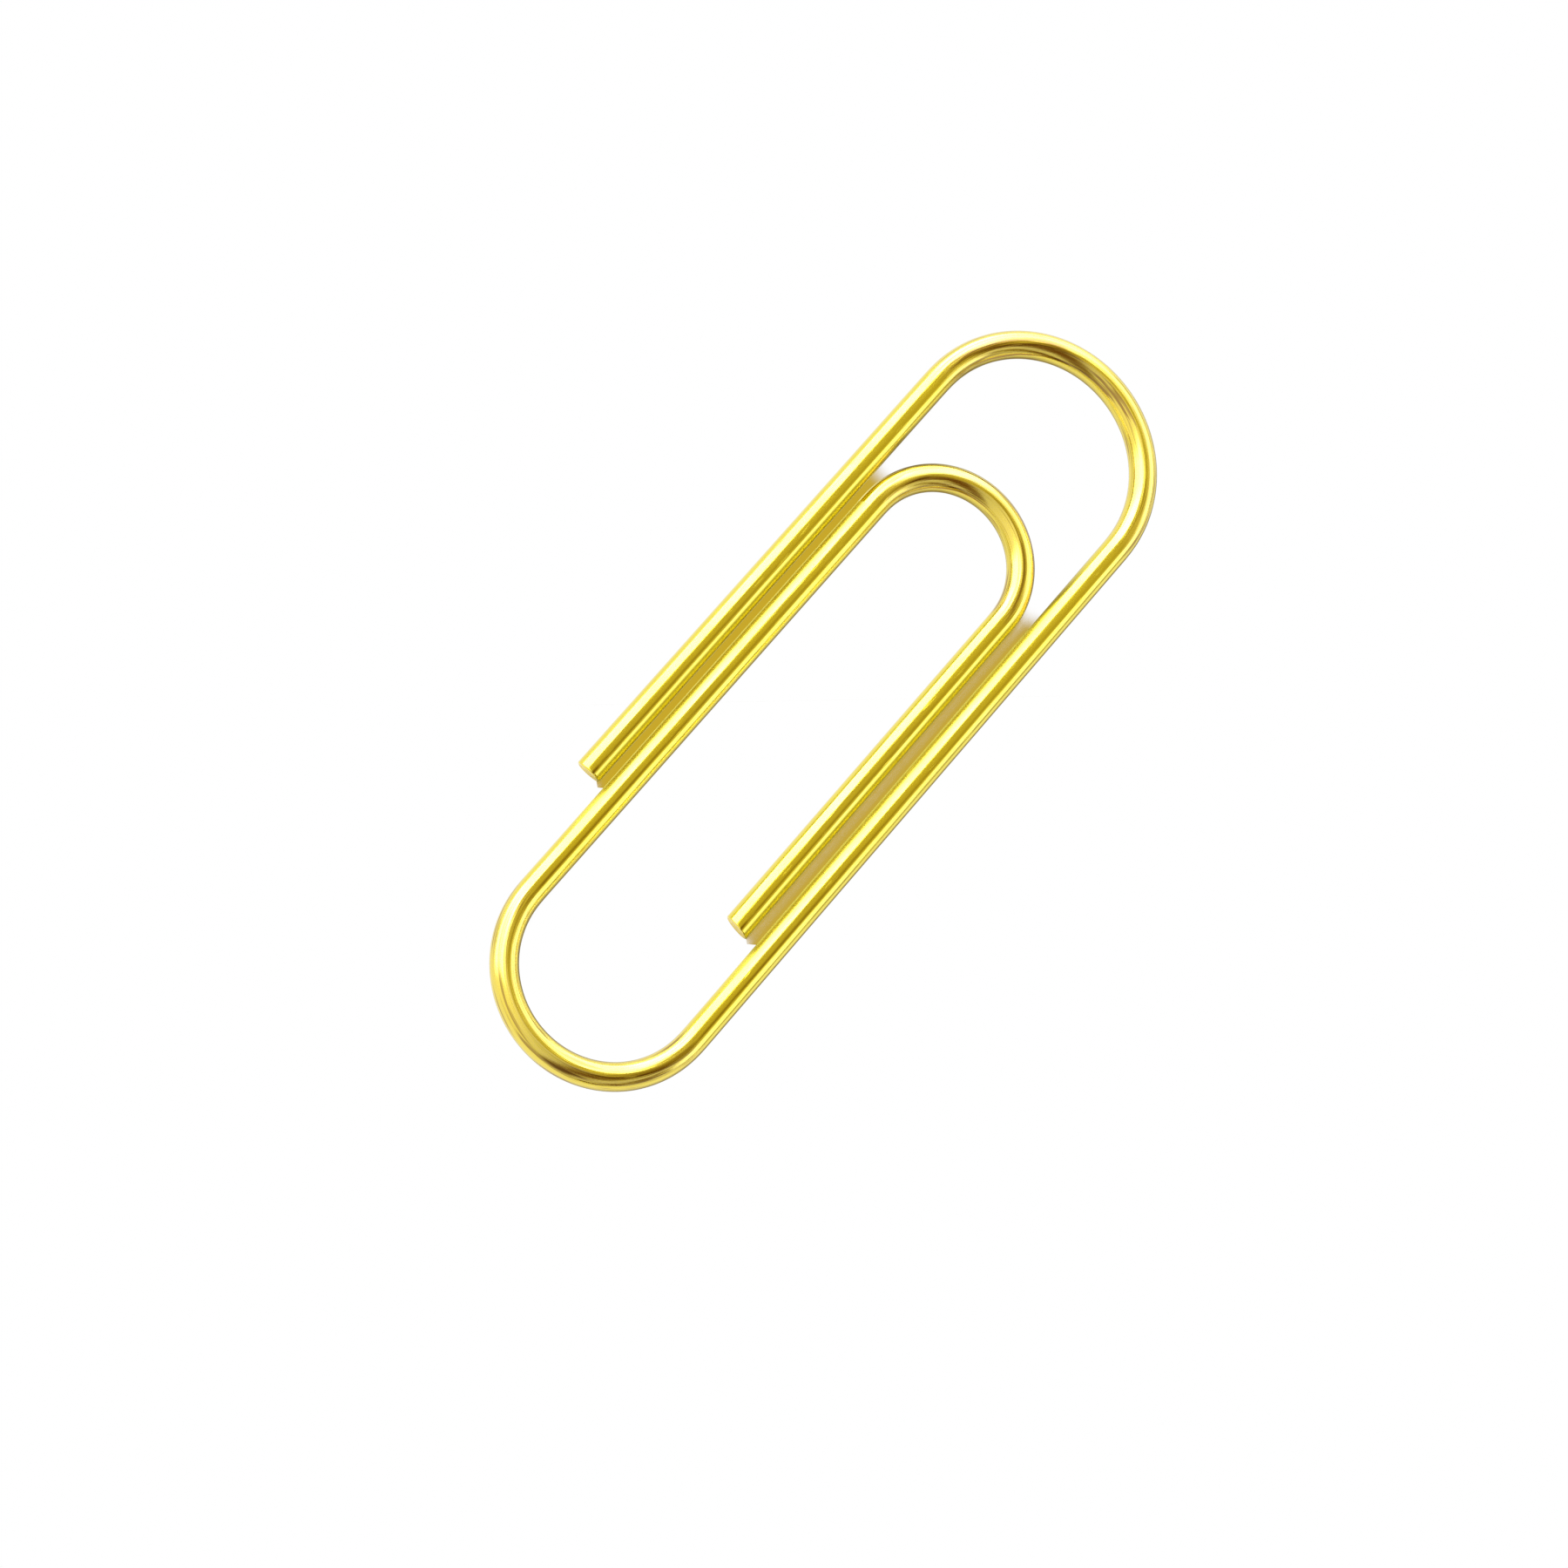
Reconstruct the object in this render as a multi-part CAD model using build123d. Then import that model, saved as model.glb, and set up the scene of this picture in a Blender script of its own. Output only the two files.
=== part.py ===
from build123d import *

import math
import os

# A paper clip of the common double-loop shape: one length of plated round steel wire, bent
# three times in one plane. From its outer free end the wire runs up the outer leg, round the
# upper bend, down the long leg, round the lower bend, up the middle leg, round the inner bend
# and down the inner leg to its other free end.
#
# The clip lies flat on Z = 0, with the middle of its plan at the origin. +Y runs along its
# length towards the upper bend, and +X runs across it towards the long leg.
#
# Nothing on the real clip comes apart. The solids are stretches of the one wire that meet face
# to face: four straight legs, which stay straight as the clip opens, and six half bends, which
# meet in pairs at the bends' crowns, where the wire twists.

# Driving dimensions, in millimetres and degrees
wire_diameter = 1.0
clip_length = 33.0        # over the upper and the lower bend
clip_width = 9.7          # over the outer leg and the long leg
left_gap = 0.23           # clear between the outer leg and the middle leg
right_gap = 0.39          # clear between the inner leg and the long leg
crown_gap = 5.35          # clear between the inner bend and the upper bend, along the length
crown_length = 0.2        # straight wire at each crown, on the axis that the bend twists about
outer_end_rise = 4.55     # from the top of the lower bend up to the outer leg's cut end
inner_end_rise = 4.1      # from the top of the lower bend up to the inner leg's cut end
cut_undercut = 10.0       # both ends are sheared: longer at the top than where they meet the table
inner_cut_slant = 8.0     # the inner end is also askew in plan: longer on the side of the long leg
outer_rim_radius = 0.08   # the outer end's rim has worn round
inner_rim_radius = 0.05   # the inner end's rim is nearly as sharp as the shear left it

# Across the clip: the centre lines of the four legs, left to right
wire_radius = wire_diameter / 2
outer_leg_x = wire_radius - clip_width / 2
long_leg_x = clip_width / 2 - wire_radius
middle_leg_x = outer_leg_x + wire_diameter + left_gap
inner_leg_x = long_leg_x - wire_diameter - right_gap

# Along the clip: the centre lines of the three crowns
upper_crown_y = clip_length / 2 - wire_radius
lower_crown_y = wire_radius - clip_length / 2
inner_crown_y = upper_crown_y - wire_diameter - crown_gap


def crown_between(leg_a_x, leg_b_x):
    """The middle of a bend across the clip, and the radius of its two quarter turns."""
    middle_x = (leg_a_x + leg_b_x) / 2
    turn_radius = (abs(leg_b_x - leg_a_x) - crown_length) / 2
    return middle_x, turn_radius


upper_crown_x, upper_radius = crown_between(outer_leg_x, long_leg_x)
lower_crown_x, lower_radius = crown_between(middle_leg_x, long_leg_x)
inner_crown_x, inner_radius = crown_between(middle_leg_x, inner_leg_x)

# Where each bend runs out into its legs, and where the two free ends are cut
upper_tangent_y = upper_crown_y - upper_radius
lower_tangent_y = lower_crown_y + lower_radius
inner_tangent_y = inner_crown_y - inner_radius
outer_end_y = lower_tangent_y + outer_end_rise
inner_end_y = lower_tangent_y + inner_end_rise


def wire_section(x, y, heading):
    """The round section of the wire at a point of its centre line, facing along the wire."""
    return Plane(origin=(x, y, wire_radius), z_dir=heading) * Circle(wire_radius)


def leg(x, low_y, high_y):
    """A straight stretch of wire along the clip."""
    return extrude(wire_section(x, low_y, (0, 1, 0)), amount=high_y - low_y)


def half_bend(crown_x, crown_y, turn_radius, side, facing):
    """Half of a bend: a straight stub at its crown, then a quarter turn into the leg.

    side is +1 for the half that leads to the right leg and -1 for the left one.
    facing is +1 where the crown points up the clip and -1 where it points down.
    """
    stub_end_x = crown_x + side * crown_length / 2
    across = (side, 0, 0)
    stub = extrude(wire_section(crown_x, crown_y, across), amount=crown_length / 2)
    turn_axis = Axis((stub_end_x, crown_y - facing * turn_radius, wire_radius), (0, 0, -side * facing))
    turn = revolve(wire_section(stub_end_x, crown_y, across), turn_axis, revolution_arc=90)
    return stub + turn


def sheared_leg(x, end_y, tangent_y, cut_slant, rim_radius):
    """A leg whose lower end is free: sheared by a leaning plane, and its rim rounded over.

    The plane passes through the middle of the wire at end_y. It leans in height by the undercut,
    and in plan by the slant, which is 0 for a cut that is square to the leg.
    """
    slant = math.tan(math.radians(cut_slant))
    undercut = math.tan(math.radians(cut_undercut))
    shear = Plane(origin=(x, end_y, wire_radius), z_dir=(slant, 1, undercut))
    uncut = leg(x, end_y - wire_diameter, tangent_y)
    cut = split(uncut, bisect_by=shear, keep=Keep.TOP)
    end_face = cut.faces().sort_by(Axis.Y)[0]
    return fillet(end_face.edges(), rim_radius)


LEFT, RIGHT = -1, 1
UP, DOWN = 1, -1

# Every stretch, in order along the wire
stretches = {
    "outer_leg": sheared_leg(outer_leg_x, outer_end_y, upper_tangent_y, 0, outer_rim_radius),
    "upper_bend_left": half_bend(upper_crown_x, upper_crown_y, upper_radius, LEFT, UP),
    "upper_bend_right": half_bend(upper_crown_x, upper_crown_y, upper_radius, RIGHT, UP),
    "long_leg": leg(long_leg_x, lower_tangent_y, upper_tangent_y),
    "lower_bend_right": half_bend(lower_crown_x, lower_crown_y, lower_radius, RIGHT, DOWN),
    "lower_bend_left": half_bend(lower_crown_x, lower_crown_y, lower_radius, LEFT, DOWN),
    "middle_leg": leg(middle_leg_x, lower_tangent_y, inner_tangent_y),
    "inner_bend_left": half_bend(inner_crown_x, inner_crown_y, inner_radius, LEFT, UP),
    "inner_bend_right": half_bend(inner_crown_x, inner_crown_y, inner_radius, RIGHT, UP),
    "inner_leg": sheared_leg(inner_leg_x, inner_end_y, inner_tangent_y, inner_cut_slant, inner_rim_radius),
}

os.makedirs("parts", exist_ok=True)
for name, stretch in stretches.items():
    export_step(stretch, f"parts/{name}.step")

wire_length = sum(stretch.volume for stretch in stretches.values()) / (math.pi * wire_radius**2)
print(f"wire length {wire_length:.1f} mm")
print(f"twist axes along X: upper bend y {upper_crown_y:.3f}, lower bend y {lower_crown_y:.3f}, "
      f"inner bend y {inner_crown_y:.3f}, all at z {wire_radius:.3f}")
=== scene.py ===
# %% [markdown]
# # A gold-plated paper clip
#
# The real clip is one length of round steel wire, 1 mm thick, bent three times and plated. Nothing on
# it comes apart, so its whole character lies in two things: the line that the wire follows, and the
# way that polished metal shows the room around it. This lesson builds both. The wire is a round
# section carried along a path, and its finish is a bright metal with the faint marks of its making.
#
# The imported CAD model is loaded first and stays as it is. Every size below is measured on it, so the
# wire that we draw lies where the CAD wire lies, and leaves it only in the bends, by 0.04 mm at most.

import math

import bpy
import numpy as np
from mathutils import Matrix, Vector


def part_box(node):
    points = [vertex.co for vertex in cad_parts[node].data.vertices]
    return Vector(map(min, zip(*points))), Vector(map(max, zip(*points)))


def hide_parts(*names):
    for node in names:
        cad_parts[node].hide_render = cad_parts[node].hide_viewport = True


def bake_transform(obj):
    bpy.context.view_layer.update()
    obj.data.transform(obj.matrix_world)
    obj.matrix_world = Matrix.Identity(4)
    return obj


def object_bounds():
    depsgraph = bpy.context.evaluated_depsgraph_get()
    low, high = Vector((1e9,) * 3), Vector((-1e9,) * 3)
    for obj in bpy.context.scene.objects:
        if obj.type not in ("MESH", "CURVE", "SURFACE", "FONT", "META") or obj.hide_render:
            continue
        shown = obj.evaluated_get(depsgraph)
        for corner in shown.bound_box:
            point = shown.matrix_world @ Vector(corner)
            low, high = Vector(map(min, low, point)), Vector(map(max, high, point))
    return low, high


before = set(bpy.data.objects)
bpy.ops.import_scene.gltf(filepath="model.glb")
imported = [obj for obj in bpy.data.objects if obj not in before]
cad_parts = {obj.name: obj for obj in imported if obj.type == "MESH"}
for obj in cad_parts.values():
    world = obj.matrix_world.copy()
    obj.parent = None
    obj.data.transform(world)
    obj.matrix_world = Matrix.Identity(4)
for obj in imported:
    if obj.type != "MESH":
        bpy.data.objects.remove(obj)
cad_low, cad_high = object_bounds()
print("CAD box in mm:", [round(1000 * side, 2) for side in cad_high - cad_low])

# %% [markdown]
# ## What the frame tells us
#
# The CAD model has the wire in ten stretches: four straight legs, and three bends of two halves each.
# The middle of a leg's box is the leg's centre line, half its height is the wire's radius, and the far
# side of a bend's box, less one radius, is the bend's crown. With those few numbers the whole path is
# known, and if the clip is made longer or thicker in CAD, this script follows without a change.

# %% Measure the wire
MM = 0.001


def leg_line(leg):
    """The x of a leg's centre line, and its lowest y, from the leg's box."""
    low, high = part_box(leg)
    return (low.x + high.x) / 2, low.y


long_low, long_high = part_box("long_leg")
wire_radius = (long_high.z - long_low.z) / 2
wire_z = (long_high.z + long_low.z) / 2

outer_x, outer_tip_y = leg_line("outer_leg")
inner_x, inner_tip_y = leg_line("inner_leg")
middle_x, _ = leg_line("middle_leg")
long_x, _ = leg_line("long_leg")

upper_crown_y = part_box("upper_bend_left")[1].y - wire_radius
lower_crown_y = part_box("lower_bend_left")[0].y + wire_radius
inner_crown_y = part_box("inner_bend_left")[1].y - wire_radius

print("wire diameter in mm:", round(2 * wire_radius / MM, 3))
print("legs at x in mm:", [round(x / MM, 2) for x in (outer_x, middle_x, inner_x, long_x)])
print("crowns at y in mm:", [round(y / MM, 2) for y in (upper_crown_y, inner_crown_y, lower_crown_y)])

# %% [markdown]
# ## The line that the wire follows
#
# A bend could be drawn as half a circle between two straight lines. Polished metal gives that away at
# once: the curvature would jump where the circle starts, and every reflection would have a kink there.
# Wire that is bent round a pin springs back a little, so its curvature grows and fades over a short
# way. We build the bend from its curvature, because that is what the eye reads: curvature added up
# along the wire is the heading, and the heading's direction added up along the wire is the path.

# %% A bend from its curvature
RING_SPACING = 0.11 * MM   # along the wire, in the bends
LEG_SPACING = 0.4 * MM     # along the wire, in the straight legs
EASE = 0.08                # share of a bend's length over which its curvature grows, and fades again


def smooth_step(t):
    """0 below 0, 1 above 1, and 3t squared less 2t cubed between."""
    t = np.clip(t, 0, 1)
    return t * t * (3 - 2 * t)


def running_sum(values):
    """The running sum of values by the trapezium rule, which starts at 0."""
    return np.concatenate([[0], np.cumsum((values[1:] + values[:-1]) / 2)])


def bend_path(from_x, to_x, crown_y, facing):
    """Half a turn from one leg to the next: centre points, headings and share of full curvature.

    Curvature is a smooth step up, a level stretch and a smooth step down. The heading is its running
    sum, scaled to half a turn. The path is the running sum of the heading's sine across the clip and
    cosine along it, scaled so that it spans the two legs and moved so that its middle is the crown.
    facing is +1 for a bend that points up the clip and -1 for one that points down.
    """
    span = to_x - from_x
    count = int(abs(span) * math.pi / 2 / RING_SPACING) | 1   # odd, so that one ring is the crown's
    along = np.linspace(0, 1, count)
    curvature = smooth_step(along / EASE) * smooth_step((1 - along) / EASE)
    turned = running_sum(curvature)
    turned *= math.pi / turned[-1]
    across, rise = running_sum(np.sin(turned)), running_sum(np.cos(turned))
    size = abs(span) / across[-1]
    side = math.copysign(1, span)
    points = np.stack([
        from_x + side * size * across,
        crown_y + facing * size * (rise - rise[count // 2]),
    ], axis=1)
    headings = np.stack([side * np.sin(turned), facing * np.cos(turned)], axis=1)
    return points, headings, curvature


def leg_path(x, from_y, to_y):
    """A straight run at x, with its end points and no curvature."""
    count = max(2, round(abs(to_y - from_y) / LEG_SPACING) + 1)
    points = np.stack([np.full(count, x), np.linspace(from_y, to_y, count)], axis=1)
    headings = np.tile([0, math.copysign(1, to_y - from_y)], (count, 1))
    return points, headings, np.zeros(count)


def joined(*runs):
    """Several runs end to end, with the point that two of them share kept once."""
    return tuple(
        np.concatenate([runs[0][part]] + [run[part][1:] for run in runs[1:]])
        for part in range(3)
    )


UP, DOWN = 1, -1
upper_bend = bend_path(outer_x, long_x, upper_crown_y, UP)
lower_bend = bend_path(long_x, middle_x, lower_crown_y, DOWN)
inner_bend = bend_path(middle_x, inner_x, inner_crown_y, UP)
print("rings in the three bends:", [len(bend[0]) for bend in (upper_bend, lower_bend, inner_bend)])

# %% [markdown]
# ## Three pieces of one wire
#
# The clip opens by twisting at its bends. The drawn wire is made in three pieces, which meet on
# straight wire, where nothing moves, with equal rings, so the shape runs on from piece to piece
# without a step.
#
# The two free ends were sheared by a blade that leaned a little, so they are longer at the top than
# at the table, and the inner one is longer on one side too. The box of a leg reaches to the tip of
# its cut, and the middle of the cut lies back from there by the lean times the wire's radius.

# %% The three paths
UNDERCUT = math.tan(math.radians(10))   # both cuts lean in height
OUTER_SLANT = 0.0                       # the outer cut is square across the clip
INNER_SLANT = math.tan(math.radians(8))  # the inner cut leans across it too

outer_end_y = outer_tip_y + wire_radius * math.hypot(UNDERCUT, OUTER_SLANT)
inner_end_y = inner_tip_y + wire_radius * math.hypot(UNDERCUT, INNER_SLANT)

upper_path = joined(
    leg_path(outer_x, outer_end_y, upper_bend[0][0, 1]),
    upper_bend,
    leg_path(long_x, upper_bend[0][-1, 1], lower_bend[0][0, 1]),
)
lower_path = joined(
    lower_bend,
    leg_path(middle_x, lower_bend[0][-1, 1], inner_bend[0][0, 1]),
)
inner_path = joined(
    inner_bend,
    leg_path(inner_x, inner_bend[0][-1, 1], inner_end_y),
)


def run_length(path):
    """The distance along the path at each of its points."""
    steps = np.linalg.norm(np.diff(path[0], axis=0), axis=1)
    return np.concatenate([[0], np.cumsum(steps)])


lengths = [run_length(path)[-1] for path in (upper_path, lower_path, inner_path)]
upper_length, lower_length = lengths[:2]
print("lengths in mm:", [round(length / MM, 1) for length in lengths])

# %% [markdown]
# ## The two cut ends
#
# A flat disc would do for a cut end that is seen from far away. Close up, the rim of one end has worn
# round and the other is still as sharp as the blade left it, and both faces swell a little. So an end
# is a profile, a list of how far into the wire and how far from its middle, which becomes rings. The
# lean of the cut is then a shift of those rings' points along the wire, which fades out further in.

# %% Profiles of the ends
OUTER_RIM = 0.08 * MM      # the worn rim of the outer end
INNER_RIM = 0.05 * MM      # the sharp rim of the inner end
RIM_STEPS = 7
FACE_STEPS = 6
FACE_SWELL = 0.012 * MM    # how far the middle of the cut face stands out
LEAN_REACH = 1.6 * MM      # how far into the wire the rings lean with the cut


def end_profile(rim_radius):
    """A cut end from the middle of its face out to the wire's side, as depth and radius.

    The face is a shallow parabola, and the rim a quarter circle: depth is rim radius times one less
    the cosine, radius is the flat part plus rim radius times the sine. Depth runs back into the wire.
    """
    flat = wire_radius - rim_radius
    face = np.linspace(0, 1, FACE_STEPS + 1)[1:]
    face_depth = -FACE_SWELL * (1 - face**2)
    turn = np.linspace(0, math.pi / 2, RIM_STEPS + 1)[1:]
    depth = np.concatenate([face_depth, rim_radius * (1 - np.cos(turn))])
    radius = np.concatenate([flat * face, flat + rim_radius * np.sin(turn)])
    return depth, radius


def lean(depth, slant, across, height):
    """How far outwards a point of a cut end moves: slant times across plus undercut times height.

    The lean fades with depth, from all of it at the cut to none at the lean's reach.
    """
    return (slant * across + UNDERCUT * height) * (1 - smooth_step(depth / LEAN_REACH))


outer_profile = end_profile(OUTER_RIM)
inner_profile = end_profile(INNER_RIM)
print("rings in an end:", len(outer_profile[0]))

# %% [markdown]
# ## Carrying the section along the path
#
# Every ring of the wire lies square to its heading: one direction across the clip, one straight up.
# So a point of the surface is the path's point, plus cosine times the direction across, plus sine
# times up. Numpy works the whole grid out at once, rings by points round the ring. Each point also
# keeps where it lies on the wire: how far across the section, how far up it, and how far along the
# wire from the outer end. Drawn lines and rubbed places follow the wire, so the finish reads these
# and not the point's place in space.
#
# Where two legs lie side by side, polish hardly reaches the sides that face each other. Those of the
# two free legs stay dull, and their colour is also darkened, which is painted shade for the narrow gap
# between the legs. Those of their neighbours are rubbed satin by the free legs' spring. So each point
# also gets a share of both, from the way that it faces and from where it lies up the clip. The inner
# bend has no satin, so the middle leg's satin ends where that bend's piece begins.

# %% Sweep the section
ROUND = 72                 # points round a ring
RIM_CLEAR = 2.5            # rings of the leg keep this many rim radii away from a cut end


def swept(path, start_along, first_end=None, last_end=None):
    """The wire along a path as grids: points, places on the wire, share of full curvature, cut mark.

    A point is the path's point plus radius times (cosine of its angle times the direction to the
    right of the heading, plus sine times up). A cut end, given as its profile and slant, adds rings
    of its own, and its lean moves the points along the heading.
    """
    points, headings, curvature = path
    along = run_length(path)
    total = along[-1]
    radius = np.full(len(along), wire_radius)
    on_face = np.zeros(len(along), bool)
    if first_end:
        depth, end_radius = first_end[0]
        body = along > depth[-1] * RIM_CLEAR
        along = np.concatenate([depth, along[body]])
        radius = np.concatenate([end_radius, radius[body]])
        on_face = np.concatenate([np.arange(len(depth)) < FACE_STEPS, on_face[body]])
        points = np.concatenate([points[0] + np.outer(depth, headings[0]), points[body]])
        headings = np.concatenate([np.tile(headings[0], (len(depth), 1)), headings[body]])
        curvature = np.concatenate([np.zeros(len(depth)), curvature[body]])
    if last_end:
        depth, end_radius = last_end[0][0][::-1], last_end[0][1][::-1]
        body = along < total - depth[0] * RIM_CLEAR
        along = np.concatenate([along[body], total - depth])
        radius = np.concatenate([radius[body], end_radius])
        on_face = np.concatenate([on_face[body], np.arange(len(depth)) >= RIM_STEPS])
        points = np.concatenate([points[body], points[-1] - np.outer(depth, headings[-1])])
        headings = np.concatenate([headings[body], np.tile(headings[-1], (len(depth), 1))])
        curvature = np.concatenate([curvature[body], np.zeros(len(depth))])
    angle = np.linspace(0, 2 * math.pi, ROUND, endpoint=False)
    right = np.stack([headings[:, 1], -headings[:, 0]], axis=1)
    across = radius[:, None] * np.cos(angle)
    height = radius[:, None] * np.sin(angle)
    shift = np.zeros_like(across)
    if first_end:
        shift -= lean(np.clip(along, 0, None)[:, None], first_end[1], across, height)
    if last_end:
        shift += lean(np.clip(total - along, 0, None)[:, None], last_end[1], -across, height)
    grid = np.empty((len(along), ROUND, 3))
    sideways = across[..., None] * right[:, None]
    grid[..., :2] = points[:, None] + sideways + shift[..., None] * headings[:, None]
    grid[..., 2] = wire_z + height
    place = np.stack([across, height, start_along + along[:, None] + shift], axis=-1)
    bent = np.repeat(curvature[:, None], ROUND, axis=1)
    return grid, place, bent, on_face


upper_grids = swept(upper_path, 0, first_end=(outer_profile, OUTER_SLANT))
lower_grids = swept(lower_path, upper_length)
inner_grids = swept(inner_path, upper_length + lower_length, last_end=(inner_profile, INNER_SLANT))
all_grids = upper_grids, lower_grids, inner_grids
print("rings in the three pieces:", [len(grids[0]) for grids in all_grids])

# %% Dull sides with painted shade, and rubbed sides
FLANK_FADE = 3 * MM        # over which a dull or rubbed flank starts and ends
FLANK_START = 0.42         # outward x, in wire radii, at which such a flank starts
FLANK_BLEND = 0.16         # and over which it comes in
OFF_LEG = 1.01             # outward x past which a point lies on a bend and not on the leg
DULL_SHADE_BELOW, DULL_SHADE_ABOVE = 4 * MM, 2 * MM   # reach past the free end, and past the shoulder
RUBBED_BELOW = 3 * MM
LONG_RUBBED_ABOVE, MIDDLE_RUBBED_ABOVE = 3 * MM, 4 * MM
RIGHT, LEFT = 1, -1


def facing_side(grid, leg_x, side, low_y, high_y):
    """1 on the side of a leg that faces its neighbour, between two heights up the clip, else 0.

    The outward direction's x is the point's distance from the leg's line over the wire's radius.
    side is +1 where the neighbour lies towards +X and -1 where it lies towards -X.
    """
    outward = side * (grid[..., 0] - leg_x) / wire_radius
    share = smooth_step((outward - FLANK_START) / FLANK_BLEND) * (outward < OFF_LEG)
    from_low, to_high = (grid[..., 1] - low_y) / FLANK_FADE, (high_y - grid[..., 1]) / FLANK_FADE
    return share * smooth_step(from_low) * smooth_step(to_high)


shoulder_y = inner_bend[0][0, 1] + MM   # just up the inner bend, where the legs part
# The free legs' sides towards the gaps: rougher, and darkened as painted shade for the gaps
upper_dull_and_painted_shade = facing_side(
    upper_grids[0], outer_x, RIGHT, outer_end_y - DULL_SHADE_BELOW, shoulder_y + DULL_SHADE_ABOVE,
)
inner_dull_and_painted_shade = facing_side(
    inner_grids[0], inner_x, RIGHT, inner_end_y - DULL_SHADE_BELOW, shoulder_y + DULL_SHADE_ABOVE,
)
upper_rubbed = facing_side(
    upper_grids[0], long_x, LEFT, inner_end_y - RUBBED_BELOW, shoulder_y + LONG_RUBBED_ABOVE,
)
lower_rubbed = facing_side(
    lower_grids[0], middle_x, LEFT, outer_end_y - RUBBED_BELOW, shoulder_y + MIDDLE_RUBBED_ABOVE,
)
flanks = upper_dull_and_painted_shade, inner_dull_and_painted_shade, upper_rubbed, lower_rubbed
print("points on the four dull or rubbed sides:", [int((flank > 0).sum()) for flank in flanks])

# %% [markdown]
# ## From grids to closed meshes
#
# Faces are index arithmetic on the grid: each quad joins two neighbours on one ring to the same two on
# the next, and a fan of triangles closes each end on a middle point. Where two pieces of wire meet,
# that fan lies hidden inside the wire, so its edge is marked sharp, or the shading would bend towards
# the hidden face and draw a dark ring round the wire.

# %% Build the meshes


def wire_mesh(name, grid, place, bent, on_face, dull_and_painted_shade=0, rubbed=0):
    """A closed mesh from the grids: quads between rings, and a fan to a middle point at each end."""
    rings = len(grid)
    ring = np.arange(rings - 1)[:, None] * ROUND
    here = np.arange(ROUND)
    beside = (here + 1) % ROUND
    sides = np.stack(np.broadcast_arrays(
        ring + here, ring + ROUND + here, ring + ROUND + beside, ring + beside,
    ), axis=-1).reshape(-1, 4)
    first_middle, last_middle = rings * ROUND, rings * ROUND + 1
    last_ring = (rings - 1) * ROUND
    first_fan = np.stack([np.full(ROUND, first_middle), here, beside], axis=-1)
    last_fan = np.stack([np.full(ROUND, last_middle), last_ring + beside, last_ring + here], axis=-1)
    vertices = np.concatenate([grid.reshape(-1, 3), [grid[0].mean(axis=0), grid[-1].mean(axis=0)]])
    mesh = bpy.data.meshes.new(name)
    mesh.from_pydata(vertices.tolist(), [], sides.tolist() + first_fan.tolist() + last_fan.tolist())
    mesh.update()

    places = np.concatenate([place.reshape(-1, 3), [place[0].mean(axis=0), place[-1].mean(axis=0)]])
    wire_place = mesh.attributes.new("wire_place", "FLOAT_VECTOR", "POINT")
    wire_place.data.foreach_set("vector", places.astype(np.float32).ravel())
    for share, values in (("bend_share", bent), ("dull_and_painted_shade_share", dull_and_painted_shade), ("rubbed_share", rubbed)):
        values = np.append(np.broadcast_to(values, grid.shape[:2]), [0, 0])
        attribute = mesh.attributes.new(share, "FLOAT", "POINT")
        attribute.data.foreach_set("value", values.astype(np.float32))

    cut_side = np.repeat(on_face[:-1] & on_face[1:], ROUND)
    cut = np.concatenate([cut_side, np.repeat(on_face[[0, -1]], ROUND)])
    mesh.polygons.foreach_set("material_index", cut.astype(np.int32))
    smooth = cut.copy()
    smooth[:len(sides)] = True
    mesh.polygons.foreach_set("use_smooth", smooth)

    edges = np.empty(2 * len(mesh.edges), np.int32)
    mesh.edges.foreach_get("vertices", edges)
    edge_rings = edges.reshape(-1, 2) // ROUND
    on_first = (edge_rings == 0).all(axis=1) & ~on_face[0]
    on_last = (edge_rings == rings - 1).all(axis=1) & ~on_face[-1]
    sharp = mesh.attributes.new("sharp_edge", "BOOLEAN", "EDGE")
    sharp.data.foreach_set("value", on_first | on_last)

    piece = bpy.data.objects.new(name, mesh)
    bpy.context.scene.collection.objects.link(piece)
    print(name, "has", len(mesh.vertices), "points and", len(mesh.polygons), "faces")
    return piece


upper_wire = wire_mesh("upper_wire", *upper_grids, dull_and_painted_shade=upper_dull_and_painted_shade, rubbed=upper_rubbed)
lower_wire = wire_mesh("lower_wire", *lower_grids, rubbed=lower_rubbed)
inner_wire = wire_mesh("inner_wire", *inner_grids, dull_and_painted_shade=inner_dull_and_painted_shade)
wires = (upper_wire, lower_wire, inner_wire)

# %% [markdown]
# ## Small helpers for node trees
#
# The finish, the floor and the light are all node trees. Built by hand they are mouse work, built in
# code they are lists of links. These helpers keep the code short: one makes a node with its values or
# links set, four make the kinds of node that come up most, and two make a node group and place it.

# %% Helpers for node trees


def new_node(tree, kind, inputs=None, **settings):
    """A node of this kind, with its settings and the values or links of its inputs."""
    node = tree.nodes.new(kind)
    for name, value in settings.items():
        setattr(node, name, value)
    for name, value in (inputs or {}).items():
        if isinstance(value, bpy.types.NodeSocket):
            tree.links.new(value, node.inputs[name])
        else:
            node.inputs[name].default_value = value
    return node


def combine(tree, operation, first, second):
    """One arithmetic step on two numbers."""
    return new_node(tree, "ShaderNodeMath", {0: first, 1: second}, operation=operation).outputs[0]


def combine_vectors(tree, operation, first, second, output="Vector"):
    """One arithmetic step on two vectors."""
    node = new_node(tree, "ShaderNodeVectorMath", {0: first, 1: second}, operation=operation)
    return node.outputs[output]


def ramp(tree, value, low, high, to_low=0.0, to_high=1.0):
    """A smooth step of value from low to high, from to_low to to_high."""
    return new_node(tree, "ShaderNodeMapRange", {
        "Value": value, "From Min": low, "From Max": high, "To Min": to_low, "To Max": to_high,
    }, interpolation_type="SMOOTHSTEP").outputs[0]


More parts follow.
